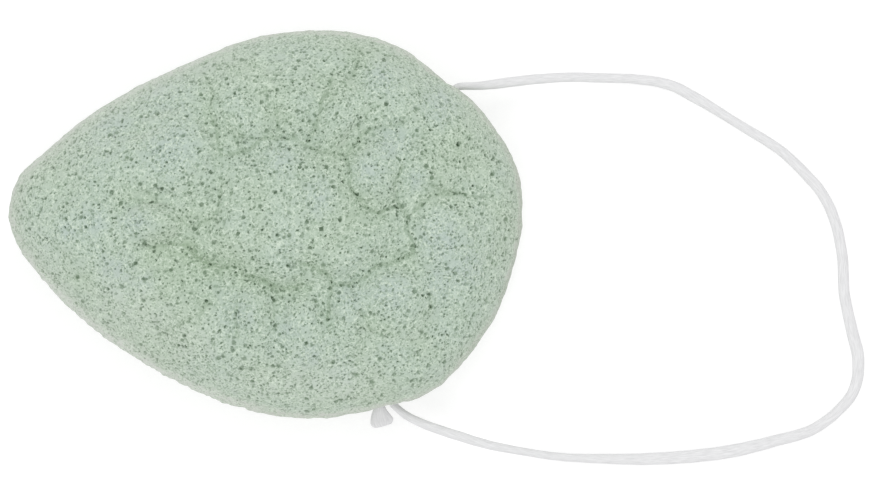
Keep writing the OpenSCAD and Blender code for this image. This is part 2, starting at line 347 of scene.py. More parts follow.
# The knot: the string's thickness in it, its turns round the loop's strand, where they start
# behind the mouth, their pitch and radius, and the steps that each turn and the lead to the
# first are made of
KNOT_CORD = 1.2 * MM
KNOT_HALF = 0.64 * MM
KNOT_TURNS = 2
KNOT_DEEP = 1.6 * MM
TURN_PITCH = 1.35 * MM
WIND = 1.25 * MM
TURN_STEPS = 12
LEAD_STEPS = 6
KNOT_IN = KNOT_DEEP + KNOT_TURNS * TURN_PITCH
KNOT_LEAD = 0.75 * KNOT_CORD
KNOT_END = KNOT_IN + KNOT_LEAD + KNOT_CORD
# The cut end: half width at the knot and where it is fanned out, how much thinner it gets, in mm,
# and between which shares of its length it fans out
TAIL_NARROW = 0.6
TAIL_WIDE = 2.15
TAIL_THINNING = 0.2
TAIL_FANS = (0.1, 1)
# The share of it that is rounded at its end, how much that takes off its width and its thickness,
# and how far its edge runs on for each millimetre away from the strand, beginning at which share
TAIL_ROUNDED = 0.2
WIDTH_ROUNDING = 0.6
THICKNESS_ROUNDING = 0.75
TAIL_SLANT = -0.06
TAIL_SLANTS = (0.35, 1)
TAIL_SIDES = 96
# Clumps of its fibres: how deep the furrows between them are as a share, how fast they deepen
# along it and how late they begin, then for each set how many there are, where they start, and
# how much they count
CLUMP_DEEP = 0.06
CLUMP_RISE = (1.6, 0.4)
CLUMPS = [(9, 0.6, 1), (15, 2, 0.6)]

# Route of the loop from the rear mouth round to the front one: x and y in mm, and the height as
# a share of the way from lying on the ground to the channel's level
LOOP_ROUTE = [
    (38, 24.4, 0.97), (42, 24.9, 0.88), (47, 25.5, 0.68), (53, 25.9, 0.42), (59, 25.8, 0.2),
    (65, 25.6, 0.06), (71, 24.6, 0), (76, 22.1, 0), (83, 17.8, 0), (90.5, 13.1, 0),
    (94.5, 9.4, 0), (98, 5.3, 0), (100.2, 0.5, 0), (101.5, -6, 0), (101.8, -12, 0),
    (103, -18, 0), (104.3, -24, 0), (103.5, -29.2, 0), (100.5, -33, 0), (96, -36.2, 0),
    (90, -38, 0), (82, -39.9, 0), (74, -40.9, 0), (66, -41.3, 0), (58, -41.2, 0.02),
    (51.8, -40.9, 0.09), (45, -39.9, 0.24), (39, -38.7, 0.46), (34, -37.2, 0.68),
    (29.2, -35.6, 0.87), (26.5, -34.5, 0.97), (24.5, -33.4, 1),
]
# Half the string's width along the loop: distance from the rear end, and half width, in mm
LOOP_HALF_WIDTHS = [
    (0, 0.62), (6, 0.72), (8, 0.86), (15, 0.84), (22, 0.88), (29, 0.81), (36, 0.87), (45, 0.97),
    (53, 0.8), (62, 0.88), (75, 0.93), (85, 0.95), (94, 0.95), (103, 1.08), (113, 0.88),
    (119, 0.92), (127, 1.05), (134, 1.15), (141, 1.1), (148, 1.02), (155, 0.88), (162, 0.75),
    (170, 0.68), (177, 0.8), (183, 0.86), (189, 0.76), (199, 0.62),
]
# Route of the tail from the end of the knot's last turn: to the side, inward and down, in mm
TAIL_ROUTE = [
    (-0.6, -0.5, 0), (-0.7, -1.2, 0.05), (-0.6, -1.9, 0.15), (-0.4, -2.7, 0.35),
    (-0.1, -3.5, 0.6), (0.3, -4.3, 0.9), (0.7, -5, 1.2),
]

LEVEL = np.array([0, 0, 1.0])
joint = frame["joints"][0]
front_mouth = Vector(joint["pos_m"])
inward = -Vector(joint["axis"])
sideways = Vector((inward.y, -inward.x, 0))


def at_channel(side, deep, down):
    """A place given from the front mouth: to the side, inward along the channel, and down."""
    return front_mouth + side * sideways + deep * inward - Vector((0, 0, down))


def smooth_line(points, step):
    """A smooth curve through the points, with places on it this far apart."""
    held = [2 * points[0] - points[1]] + list(points) + [2 * points[-1] - points[-2]]
    fine = []
    for a, b, c, d in zip(held, held[1:], held[2:], held[3:]):
        # Each stretch counts by the root of its length, so that close points bring no kink
        at_b = np.linalg.norm(b - a) ** 0.5
        at_c = at_b + np.linalg.norm(c - b) ** 0.5
        at_d = at_c + np.linalg.norm(d - c) ** 0.5
        for t in np.linspace(at_b, at_c, 24, endpoint=False):
            ab = (a * (at_b - t) + b * t) / at_b
            bc = (b * (at_c - t) + c * (t - at_b)) / (at_c - at_b)
            cd = (c * (at_d - t) + d * (t - at_c)) / (at_d - at_c)
            abc = (ab * (at_c - t) + bc * t) / at_c
            bcd = (bc * (at_d - t) + cd * (t - at_b)) / (at_d - at_b)
            fine.append((abc * (at_c - t) + bcd * (t - at_b)) / (at_c - at_b))
    fine.append(points[-1])
    fine = np.array(fine)
    along = np.append(0, np.cumsum(np.linalg.norm(np.diff(fine, axis=0), axis=1)))
    stops = np.linspace(0, along[-1], int(along[-1] / step) + 1)
    return np.stack([np.interp(stops, along, fine[:, k]) for k in range(3)], axis=1), stops


def sweep(
    name, finish, line, along, ups, wide, thick, sides, lobes=0, relief=0.0, pitch=1.0, furrows=None
):
    """A closed tube along a line. Its strands, as many as lobes, wind round it once per pitch."""
    ahead = np.gradient(line, axis=0)
    ahead /= np.linalg.norm(ahead, axis=1)[:, None]
    up = ups - ahead * (ups * ahead).sum(1)[:, None]
    up /= np.linalg.norm(up, axis=1)[:, None]
    side = np.cross(ahead, up)
    turn = 2 * math.pi * np.arange(sides) / sides
    swell = 1 + relief * np.cos(lobes * (turn[None] - 2 * math.pi * along[:, None] / pitch))
    if furrows is not None:
        swell = swell + furrows(turn[None], along[:, None])
    ring = (
        line[:, None]
        + side[:, None] * (wide[:, None] * np.cos(turn) * swell)[..., None]
        + up[:, None] * (thick[:, None] * np.sin(turn) * swell)[..., None]
    )
    # Each face's corners go round it as seen from outside, and its UVs are in mm round and along
    faces, lies = [], []
    last = len(line) - 1
    for i in range(last):
        for k in range(sides):
            here, there, after = i * sides, (i + 1) * sides, (k + 1) % sides
            faces.append((here + k, there + k, there + after, here + after))
            lies += [(k, i), (k, i + 1), (k + 1, i + 1), (k + 1, i)]
    faces.append(tuple(range(sides)))
    faces.append(tuple(range((last + 1) * sides - 1, last * sides - 1, -1)))
    lies += [(k, 0) for k in range(sides)] + [(k, last) for k in range(sides - 1, -1, -1)]
    mesh = bpy.data.meshes.new(name)
    mesh.from_pydata(ring.reshape(-1, 3).tolist(), [], faces)
    girth = 2 * math.pi * float(np.mean(wide)) / MM
    layer = mesh.uv_layers.new(name="lie")
    lies = np.array([(k / sides * girth, along[i] / MM) for k, i in lies], np.float32)
    layer.data.foreach_set("uv", lies.ravel())
    mesh.shade_smooth()
    mesh.materials.append(finish)
    piece = bpy.data.objects.new(name, mesh)
    bpy.context.scene.collection.objects.link(piece)
    return piece


def wander(along, seed, size, most):
    """A smooth random walk to both sides of nothing, with bumps about as long as size."""
    knots = np.random.default_rng(seed).random(int(along[-1] / size) + 3)
    where = along / size
    cell = where.astype(int)
    t = eased(where - cell)
    return -most + 2 * most * (knots[cell] * (1 - t) + knots[cell + 1] * t)


def make_loop(finish):
    """The free loop: soft string, flattened here and there, bent at its mouths and down to lie."""
    rear_start = CHANNEL_LENGTH - 2 * BEND_LEAD
    rear = [
        at_channel(BEND * (1 - math.cos(a)), rear_start + BEND * math.sin(a), 0)
        for a in np.radians(np.linspace(0, REAR_BEND_ANGLE, BEND_POINTS))
    ]
    lying = CORD / 2
    free = [Vector((x * MM, y * MM, lying + (front_mouth.z - lying) * z)) for x, y, z in LOOP_ROUTE]
    front = [
        at_channel(BEND * (1 - math.cos(a)), KNOT_DEEP - BEND * math.sin(a), 0)
        for a in np.radians(np.linspace(FRONT_BEND_ANGLE, 0, BEND_POINTS))
    ]
    core = [at_channel(0, KNOT_IN - KNOT_CORD / 2, 0)]
    line, along = smooth_line([np.array(p) for p in rear + free + front + core], step=0.3 * MM)
    stops, halves = np.array(LOOP_HALF_WIDTHS).T * MM
    wide = np.interp(along, stops, halves) + wander(along, WIDTH_SEED, WIDTH_BUMP, WIDTH_SWING)
    blurred = 2 * BLUR_STEPS + 1
    wide = np.convolve(np.pad(wide, BLUR_STEPS, "edge"), np.full(blurred, 1 / blurred), "valid")
    thick = ROUND_HALF + (UNSQUEEZED_HALF - wide) * THINNING
    ends = np.minimum(1, np.minimum(along, along[-1] - along) / ROUND_END)
    wide, thick = (ROUND_HALF + (half - ROUND_HALF) * ends for half in (wide, thick))
    # The string lies on the ground by its underside
    line[:, 2] -= np.clip(1 - (line[:, 2] - lying) / LYING_WITHIN, 0, 1) * (lying - thick)
    piece = sweep(
        "hanging_loop", finish, line, along, LEVEL, wide, thick, sides=20,
        lobes=3, relief=0.014, pitch=13 * MM,
    )
    return piece, line


def make_knot(finish):
    """The string's end wound round the loop's strand inside the front mouth."""
    steps = LEAD_STEPS + KNOT_TURNS * TURN_STEPS
    angles = [math.radians(90 - 360 / TURN_STEPS * (steps - i)) for i in range(steps + 1)]
    points = [at_channel(0, KNOT_END, 0)]
    for i, a in enumerate(angles):
        out = min(i / LEAD_STEPS, 1)
        on = max(i - LEAD_STEPS, 0) / (steps - LEAD_STEPS)
        deep = KNOT_IN + KNOT_LEAD * (1 - out) - (KNOT_IN - KNOT_DEEP) * on
        points.append(at_channel(WIND * out * math.cos(a), deep, WIND * out * math.sin(a)))
    leave = Vector((-2 * math.pi * WIND, -TURN_PITCH)).normalized()
    end = (KNOT_CORD * leave.x, KNOT_DEEP + KNOT_CORD * leave.y, WIND)
    points.append(at_channel(*end))
    line, along = smooth_line([np.array(p) for p in points], step=0.2 * MM)
    ups = [angles[0]] + angles + [angles[-1]]
    share = np.interp(along, np.linspace(0, along[-1], len(ups)), ups)
    outward = np.array([math.cos(a) * np.array(sideways) - math.sin(a) * LEVEL for a in share])
    half = np.full(len(line), KNOT_HALF)
    piece = sweep(
        "cord_end_knot", finish, line, along, outward, half, half, sides=16,
        lobes=3, relief=0.03, pitch=6 * MM,
    )
    return piece, end, leave


def make_tail(finish, start, leave):
    """The cut end: squeezed at the knot, then fanned out flat, with a rounded slanting edge."""
    side, deep, down = start
    places = [start, (side + KNOT_CORD / 3 * leave.x, deep + KNOT_CORD / 3 * leave.y, down)]
    places += [(side + x * MM, deep + y * MM, down + z * MM) for x, y, z in TAIL_ROUTE]
    line, along = smooth_line([np.array(at_channel(*p)) for p in places], step=0.12 * MM)
    share = along / along[-1]
    rounding = np.clip((share - (1 - TAIL_ROUNDED)) / TAIL_ROUNDED, 0, 1) ** 2
    wide = TAIL_NARROW + (TAIL_WIDE - TAIL_NARROW) * ramp_to(share, *TAIL_FANS)
    wide = wide * np.sqrt(1 - WIDTH_ROUNDING * rounding) * MM
    thick = TAIL_NARROW - TAIL_THINNING * share
    thick = thick * np.sqrt(1 - THICKNESS_ROUNDING * rounding) * MM

    def clumps(turn, length):
        grown = np.clip(length / along[-1] * CLUMP_RISE[0] - CLUMP_RISE[1], 0, 1)
        waves = sum(much * np.cos(count * turn + first) for count, first, much in CLUMPS)
        return CLUMP_DEEP * grown * waves / sum(much for _, _, much in CLUMPS)

    piece = sweep(
        "cord_cut_end", finish, line, along, LEVEL, wide, thick, TAIL_SIDES, furrows=clumps
    )
    points = vertex_values(piece.data, "co")
    ahead = line[-1] - line[-8]
    ahead /= np.linalg.norm(ahead)
    off = (points - np.repeat(line, TAIL_SIDES, axis=0)) @ np.cross(ahead, LEVEL)
    slanted = np.repeat(ramp_to(share, *TAIL_SLANTS), TAIL_SIDES) * off * TAIL_SLANT
    points += slanted[:, None] * ahead
    place_vertices(piece.data, points)
    return piece


# Foam
VOXEL = 0.56 * MM
EASE_ROUNDS = 9
FINE_LEVELS = 2
# The dimples that the cord's knot and its rear strand sink into: radius, the inner end's share
# of it, and depth behind the side. The knot's lies off the channel, towards the cut end: to the
# side and down
KNOT_DIMPLE = (3.2 * MM, 0.9, 5.6 * MM)
KNOT_DIMPLE_OFF = (-0.45 * MM, 0.35 * MM)
STRAND_DIMPLE = (2.3 * MM, 0.4, 3 * MM)
# What cuts them starts this far outside the side
OUTSIDE = 4 * MM
HOLE_SIDES = 48
# The solid's pocket round the knot and its funnel at the rear mouth, which the dimples stand
# for here
POCKET_RADIUS = 3.25 * MM
POCKET_DEEP = 5.85 * MM
FUNNEL_RADIUS = 3.6 * MM
FUNNEL_DEEP = 2.2 * MM
WALL_SLACK = 0.03 * MM
# Where the rear strand swings past the foam: the angles round the channel in degrees and the
# distances from it between which the foam gives way, then the strand's near side as its depth
# past the rear mouth at the channel's axis and its rise outward
SWUNG_PAST = (-30, -10, 128, 148)
PRESSED_BACK = (9 * MM, 6 * MM)
STRAND_RISE = (-1.13 * MM, 0.237)

# The crown, by height and by the upward share of the normals
CROWN_HEIGHTS = (8 * MM, 13 * MM)
CROWN_NORMALS = (0.1, 0.5)
# Creases of the crown: depth of the fold and of the hollow round it as shares, then places in mm
CREASES = [
    (0.55, 0.8, [(-19.8, -4.1), (-18, -3.7), (-16.3, -3.4), (-13.4, -3.7)]),
    (0.75, 1.0, [(-13.4, -3.7), (-12.4, -5.1), (-11, -6.2), (-9.1, -7.3), (-6.6, -7.4),
                 (-4.5, -7.6), (-3.8, -9.1)]),
    (1.0, 1.0, [(-3.8, -9.1), (-2.4, -8.9), (-0.2, -9.6), (1.9, -10.9), (3.4, -11.2),
                (6.2, -10.7)]),
    (0.85, 0.6, [(6.6, -7.3), (8.3, -7.1), (9.7, -8), (11.2, -9.4), (11.6, -10.5),
                 (11.4, -13.4), (10.9, -16.9)]),
    (0.75, 0.55, [(11.6, -10.5), (13.4, -10.3), (15.1, -10.5), (16.6, -9.4), (18, -8.7),
                  (19.4, -7.3), (21.6, -6.9), (23.7, -5.9), (25.5, -4.8)]),
    (0.7, 0.55, [(25.5, -4.8), (25.8, -3.4), (25.1, -1.2), (25, 1.6), (23.7, 3.1), (23, 4.5),
                 (23, 7.3), (23.7, 10.2)]),
    (0.9, 0.6, [(14.1, 11.6), (14.8, 8.8), (15.1, 6.6), (16.2, 4.5), (18, 2.7), (20.1, 2),
                (21.9, 2.7), (23.7, 3.1)]),
    (0.8, 0.3, [(29, 7), (30.5, 6.3), (32.6, 5.6)]),
    (0.7, 0.25, [(26.1, 1.8), (27.6, 4.1), (29.2, 4.9), (31.1, 5.5), (33.8, 5.4), (36.5, 5.1),
                 (38.9, 4.9)]),
    (0.5, 0.4, [(27.6, 14.1), (28.7, 12.7)]),
    (0.4, 0.3, [(33.7, 14.5), (34.4, 13.1)]),
    (0.7, 0.3, [(-6.3, 12.2), (-4.5, 12.7), (-2.7, 13), (-0.9, 14.5), (1.2, 15.1), (3.4, 15.2),
                (5.1, 15.2), (6.6, 13.8), (8.3, 13.1), (10.5, 12.5), (14.1, 12.4)]),
    (0.6, 0.35, [(14.1, 12.4), (15.5, 13.8), (16.6, 15.2), (17.6, 16.3), (19.8, 17), (21.9, 17.2),
                 (23.7, 17.7)]),
    (0.75, 0.45, [(11.9, 25.2), (10.9, 23.4), (9.8, 21.6), (9.4, 18.8), (8.7, 16.6), (7.6, 14.5)]),
    (0.6, 0.5, [(16.6, 30.5), (16.1, 28), (15.1, 25.5)]),
    (0.6, 0.4, [(2.3, 19.6), (2.6, 16.4)]),
    (0.6, 0.6, [(-10.1, 25.4), (-9.5, 23.8), (-9.1, 21.6), (-9.5, 19.5), (-8.4, 17), (-8.1, 14.5),
                (-7.7, 12)]),
    (0.5, 0.5, [(-6.6, 18), (-5.2, 15.2), (-4.5, 13.1)]),
    (0.5, 0.6, [(-7.3, 6.8), (-8.1, 3.8), (-9.5, 0.9), (-11.6, -0.2), (-13.8, 0.2)]),
    (0.4, 0.4, [(-23, 4.1), (-21, 3.8), (-19.5, 3.4), (-17, 2.7)]),
    (0.5, 0.5, [(-17.7, -19.4), (-15.9, -17.6), (-13.8, -16.6), (-11.3, -15.5), (-9.8, -13.8)]),
    (0.5, 0.4, [(-5.2, -14.6), (-5.1, -17.1), (-4.8, -19.7)]),
    (0.4, 0.4, [(1.6, -13.2), (1.8, -16.6), (1.9, -18.9)]),
    (0.5, 0.4, [(16.9, -14.8), (17.6, -16.4), (18.7, -18.2)]),
    (0.5, 0.4, [(29, -12.2), (28.9, -13.9), (28.7, -15.7)]),
    (0.3, 0.3, [(18.7, -27.3), (20.4, -25.5)]),
    (0.3, 0.3, [(6.2, 8.9), (6.6, 4.5)]),
    (0.3, 0.2, [(-33.8, -9.5), (-31.1, -9.2)]),
]
FOLD_DEEP = 0.5 * MM
FOLD_HALF_WIDTH = 0.3 * MM
HOLLOW_DEEP = 0.2 * MM
HOLLOW_HALF_WIDTH = 2.2 * MM
# The creases stray from their places by this many mm, over lumps of each size, with two seeds
# for each, and the open bubbles by a share of it. The folds fade to a share of their depth over
# lumps of the last size, between these two values of their noise
CREASE_STRAY = 0.3
STRAY_LUMPS = [(3 * MM, (11, 12)), (1.1 * MM, (17, 18))]
BUBBLE_STRAY = 0.3
FADING_LUMPS = (1.7 * MM, 19)
FOLD_FADED = 0.6
FADING = (-0.35, 0.3)
# Bubbles that broke wide open: x and y in mm
OPEN_BUBBLES = [
    (24.1, 3.2), (-21.6, 7), (-22.5, -6.8), (-14.1, -19.4), (-4.1, -25.1), (2.5, -24.6),
    (20.1, -23.5), (18.7, -27.6), (42.1, 0.9), (41.9, -2.6), (33.3, -8.7), (29, -14.4),
    (20.8, 28.7), (2.3, 23.4), (-26.6, 5.6), (-19.5, 3.6), (-10.9, 3.4), (-10.9, 7.1),
    (-0.7, 3.1), (2.3, -1.8), (4.3, -1.9), (4.1, -7.1), (-8.8, -3.2), (-31.9, -13.4),
    (-32.7, -9.2), (22.6, -26.2), (-4.1, 28.7), (11.9, -24.1), (-8.1, -23.3), (-5.6, -21.9),
    (27.3, -18.7), (33.7, 13.8),
]
OPEN_BUBBLE_RADIUS_MM = 0.36
OPEN_BUBBLE_DEEP = 0.6 * MM
# The tip is blunt on its rear side: direction and half angle in degrees, on the side by the
# normals' upward share, how far, and which way
BLUNT_AT = (170, 5.5)
BLUNT_NORMALS = (0.5, 1)
BLUNT_DEEP = 0.75 * MM
BLUNT_WAY = (-0.8, 0.6)

# The mould's skin reaches further up between these angles round the foam, in degrees clockwise:
# at the front, and from there to the tip. Its edge by the normals' upward share, what each of them
# adds, how wide it is on each side, how far it frays over lumps of two sizes, and the heights
# between which the skin begins over the base
FRONT = (60, 85, 108, 132)
FRONT_LEFT = (70, 110, 160, 178)
SKIN_EDGE = 0.28
FRONT_HIGHER = 0.08
FRONT_LEFT_HIGHER = 0.1
SKIN_HALF_WIDTH = 0.15
SKIN_FRAY = 0.08
FRAY_LUMPS = [(2.5 * MM, 13), (0.9 * MM, 20)]
SKIN_HEIGHTS = (0, 2 * MM)
# Lumps of the whole foam, and of the skin at the front left: height, size and random seed
FOAM_LUMPS = [(0.13 * MM, 2.6 * MM, 14), (0.1 * MM, 1.1 * MM, 15), (0.05 * MM, 0.5 * MM, 16)]
SKIN_LUMPS = (0.22 * MM, 0.8 * MM, 25)
# The side is raised by this much, to make up for what its bubbles take off
SIDE_RAISED = 0.15 * MM
# Bubbles in sets: spacing, small and large radius, and random seed
BUBBLE_SETS = [
    (0.46 * MM, 0.1 * MM, 0.21 * MM, 21), (0.75 * MM, 0.14 * MM, 0.3 * MM, 22),
    (1.4 * MM, 0.2 * MM, 0.4 * MM, 23), (3.2 * MM, 0.26 * MM, 0.46 * MM, 24),
]
# They are squeezed out of round by this many mm over lumps of this size, none is deeper than
# this, and they are smaller in the skin and larger in the hollows by these shares
BUBBLE_SQUEEZE = 0.13
SQUEEZE_LUMPS = (0.45 * MM, (31, 32, 33))
BUBBLE_DEEPEST = 0.8 * MM
SKIN_SMALLER = 0.5
HOLLOW_LARGER = 0.1

# Places that look bluer: x, y and radius in mm
BLUE_PLACES = [
    (3, 11.2, 3), (9.6, 4.6, 3), (22.3, 15.1, 3.5), (20.2, 25.6, 3), (30.7, 20.9, 3),
    (26.3, 7.7, 2), (17.5, 9.1, 3), (-22.8, 0.7, 3), (-29.8, 0.7, 2.5), (-34.6, -1.4, 2),
    (-25.8, -8.1, 3), (-21.1, -10.2, 2), (-4.7, -15.4, 4), (3.5, -18.6, 3.5), (14.9, -12.5, 3.5),
    (21.9, -11.2, 4), (30.7, -2.5, 5), (35.1, -8.1, 4), (30.7, -10.7, 3), (7.9, -23, 2.5),
    (14, -26.5, 2.5), (-16.7, 13, 5), (-20.2, 23.5, 5), (-27.2, 18.2, 5),
]
# Places of the crown painted darker as shade: x, y and radius in mm, and how much as a share
PAINTED_SHADE_PLACES = [(-12.5, -9.5, 6, 0.4), (16, 1, 6, 0.2), (-1, 8, 5, 0.14)]
# Stretches of the front flank painted paler as light: width on each side, then places in mm
PAINTED_LIGHT_FLANKS = [(6, [(-27, -14), (-13, -21.5)]), (5, [(-4, -28.5), (18, -28.5)])]
# The rim is painted paler as light, by the normals' upward share: everywhere by a share of it, and
# the whole along these places towards the tip
RIM_NORMALS = (0.3, 0.97)
RIM_LEAST = 0.5
RIM_GROWS = (-10 * MM, 30 * MM)
# The skin is nearly white at the tip and, as painted shade, less white and greyer towards the
# cord's
# end: how white it is at most, how much less beyond the first places along the foam, where the grey
# begins, how strong it is there, and how much it adds at the last places
SKIN_WHITE, WHITE_LESS, WHITE_FADES = 0.95, 0.35, (20 * MM, 45 * MM)
GREY_BEGINS, SKIN_GREY = (-15 * MM, 5 * MM), 0.35
GREY_MORE, GREY_GROWS = 0.25, (30 * MM, 43 * MM)
# How strongly the marks colour the foam: the painted shade on the floors of shallow and of deep
# bubbles, by their depth, of folds and of open bubbles; the painted shade in hollows and the folds
# in them; blue places; the painted light on pale flanks
SHALLOW_PORE, SHALLOW_DEPTHS = 0.42, (0.02 * MM, 0.22 * MM)
DEEP_PORE, DEEP_DEPTHS = 0.3, (0.2 * MM, 0.6 * MM)
FOLD_PORE, OPEN_PORE = 0.35, 0.45
HOLLOW_DARK, FOLD_DARK = 0.45, 0.3
BLUE_MUCH, FLANK_MUCH = 0.8, 0.45

askew = np.array(Euler(ASKEW).to_matrix())


def lattice(points, size, seed, channels):
    """Random numbers on a lattice of this spacing round the points, and where they lie on it."""
    low = points.min(0) - 2 * size
    where = (points - low) / size
    shape = tuple(where.astype(int).max(0) + 3) + (channels,)
    return low, where, np.random.default_rng(seed).random(shape)


def lumps(points, size, seed):
    """Smooth noise from -1 to 1 whose lumps are about this large."""
    _, where, table = lattice(points @ askew, size, seed, 1)
    cell = where.astype(int)
    t = eased(where - cell)
    total = np.zeros(len(points))
    for step in itertools.product((0, 1), repeat=3):
        weight = np.prod(np.where(step, t, 1 - t), axis=1)
        at = cell + step
        total += weight * table[at[:, 0], at[:, 1], at[:, 2], 0]
    return 2 * total - 1


def lumps_each(points, size, seeds):
    """Such noise for each seed, side by side, as a shift of the points."""
    return np.stack([lumps(points, size, seed) for seed in seeds], axis=1)


def bubbles(points, normals, size, small, large, seed, swell):
    """How deep the bubbles that the surface cuts open reach below each point. There is one bubble
    for each cube of the given size, most are nearer to the small radius than to the large one, and
    none is over half the size, so that the eight nearest cubes hold all that can reach a point."""
    low, where, table = lattice(points, size, seed, 4)
    cell = (where - 0.5).astype(int)
    deepest = np.zeros(len(points))
    for step in itertools.product((0, 1), repeat=3):
        at = cell + step
        data = table[at[:, 0], at[:, 1], at[:, 2]]
        off = points - ((at + data[:, :3]) * size + low)
        radius = np.minimum((small + (large - small) * data[:, 3] ** 2) * swell, size / 2)
        rise = (off * normals).sum(1)
        away = (off * off).sum(1)
        depth = rise + np.sqrt(np.maximum(radius**2 - away + rise**2, 0))
        deepest = np.maximum(deepest, np.where(away < radius**2, depth, 0))
    return deepest


def far_from(places, line):
    """How far each place is from a line through points, in plan."""
    nearest = np.full(len(places), np.inf)
    for a, b in zip(line, line[1:]):
        a, b = np.array(a) * MM, np.array(b) * MM
        t = np.clip((places - a) @ (b - a) / ((b - a) @ (b - a)), 0, 1)
        nearest = np.minimum(nearest, np.linalg.norm(places - a - t[:, None] * (b - a), axis=1))
    return nearest


def spots(places, around, power=2):
    """How much each place lies in one of some round spots: x, y and radius in mm, and strength."""
    most = np.zeros(len(places))
    for x, y, radius, much in around:
        away = np.linalg.norm(places - np.array((x, y)) * MM, axis=1)
        most = np.maximum(most, much * bell(away, radius * MM, power))
    return most


def loose_copy(node, name):
    """A copy of a node's solid that rides on nothing yet, with its doubles merged."""
    piece = frame["nodes"][node].copy()
    piece.data = piece.data.copy()
    piece.name = piece.data.name = name
    for key in list(piece.keys()):
        del piece[key]
    piece.parent = None
    piece.data.materials.clear()
    bpy.context.scene.collection.objects.link(piece)
    select_only(piece)
    bpy.ops.object.mode_set(mode="EDIT")
    bpy.ops.mesh.select_all(action="SELECT")
    bpy.ops.mesh.remove_doubles(threshold=0.001 * MM)
    bpy.ops.object.mode_set(mode="OBJECT")
    return piece


def close_channel(piece):
    """Closes the channel, its funnel and the knot's pocket, which the solid's copy still has."""
    mesh = piece.data
    axis = np.array(inward)
    places = vertex_values(mesh, "co") - np.array(front_mouth)
    deep = places @ axis
    away = np.linalg.norm(places - deep[:, None] * axis, axis=1)
    funnel = (deep - CHANNEL_LENGTH + FUNNEL_DEEP) * (FUNNEL_RADIUS - CHANNEL_RADIUS) / FUNNEL_DEEP
    wall = np.where(deep < POCKET_DEEP, POCKET_RADIUS, CHANNEL_RADIUS + np.maximum(funnel, 0))
    on_wall = away < wall + WALL_SLACK
    inside = [bool(on_wall[list(face.vertices)].all()) for face in mesh.polygons]
    select_only(piece)
    bpy.ops.object.mode_set(mode="EDIT")
    bpy.ops.mesh.select_mode(type="FACE")
    bpy.ops.mesh.select_all(action="DESELECT")
    bpy.ops.object.mode_set(mode="OBJECT")
    mesh.polygons.foreach_set("select", inside)
    bpy.ops.object.mode_set(mode="EDIT")
    bpy.ops.mesh.delete(type="FACE")
    bpy.ops.mesh.select_all(action="SELECT")
    bpy.ops.mesh.fill_holes(sides=0)
    bpy.ops.object.mode_set(mode="OBJECT")


def drill(piece, name, radius, inner_radius, start, deep, off=(0, 0)):
    """Cuts a round or tapering hole along the channel, from outside the side to a place inside."""
    bpy.ops.object.select_all(action="DESELECT")
    bpy.ops.mesh.primitive_cone_add(
        vertices=HOLE_SIDES,
        radius1=radius,
        radius2=inner_radius,
        depth=abs(deep - start),
        location=at_channel(off[0], (start + deep) / 2, off[1]),
        rotation=(math.pi / 2 * (-1 if deep > start else 1), 0, -math.atan2(inward.x, inward.y)),
    )
    cutter = bpy.context.object
    apply_modifier(piece, name, "BOOLEAN", operation="DIFFERENCE", solver="MANIFOLD", object=cutter)
    bpy.data.objects.remove(cutter)


def fold_crown(points, crown):
    """Sinks the creases, the hollows round them and the wide open bubbles into the crown, and
    returns how much each point has of the three."""
    stray = sum(lumps_each(points, size, seeds) * CREASE_STRAY * MM for size, seeds in STRAY_LUMPS)
    strayed = points[:, :2] + stray
    fold = np.zeros(len(points))
    hollow_and_painted_shade = np.zeros(len(points))
    for sharp, broad, line in CREASES:
        away = far_from(strayed, line)
        fold = np.maximum(fold, sharp * bell(away, FOLD_HALF_WIDTH))
        hollow_and_painted_shade = np.maximum(hollow_and_painted_shade, broad * bell(away, HOLLOW_HALF_WIDTH))
    fold *= FOLD_FADED + (1 - FOLD_FADED) * ramp_to(lumps(points, *FADING_LUMPS), *FADING)
    broken = [(x, y, OPEN_BUBBLE_RADIUS_MM, 1) for x, y in OPEN_BUBBLES]
    opened = crown * spots(points[:, :2] + BUBBLE_STRAY * stray, broken, power=4)
    points[:, 2] -= crown * (FOLD_DEEP * fold + HOLLOW_DEEP * hollow_and_painted_shade) + OPEN_BUBBLE_DEEP * opened
    return fold, hollow_and_painted_shade, opened


def cut_bubbles(points, normals, crown, hollow_and_painted_shade, skin, front_left):
    """Raises the lumps and cuts the bubbles, which are larger in the hollows and small in the skin,
    and returns how deep each point lies in one."""
    broad, middle, fine = (height * lumps(points, size, seed) for height, size, seed in FOAM_LUMPS)
    swelling = broad + middle + (fine + SIDE_RAISED * (1 - crown))
    height, size, seed = SKIN_LUMPS
    swelling += height * front_left * skin * lumps(points, size, seed)
    swell = (1 - SKIN_SMALLER * skin) * (1 + HOLLOW_LARGER * crown * hollow_and_painted_shade)
    squeezed = (points + lumps_each(points, *SQUEEZE_LUMPS) * BUBBLE_SQUEEZE * MM) @ askew
    cut = np.zeros(len(points))
    for spacing, small, large, seed in BUBBLE_SETS:
        reach = bubbles(squeezed, normals @ askew, spacing, small, large, seed, swell)
        cut = np.maximum(cut, reach)
    points += normals * (swelling - np.minimum(cut, BUBBLE_DEEPEST))[:, None]
    return cut


def give_way(points):
    """Presses the foam back where the rear strand swings past it, from the ground to the crown."""
    off = points - np.array(front_mouth)
    deep = off @ np.array(inward)
    side = off @ np.array(sideways)
    away = np.hypot(side, off[:, 2])
    swung = np.degrees(np.arctan2(off[:, 2], side))
    reached = within(swung, *SWUNG_PAST) * ramp_to(away, *PRESSED_BACK)
    limit = CHANNEL_LENGTH + STRAND_RISE[0] + STRAND_RISE[1] * away
    points -= (np.maximum(deep - limit, 0) * reached)[:, None] * np.array(inward)


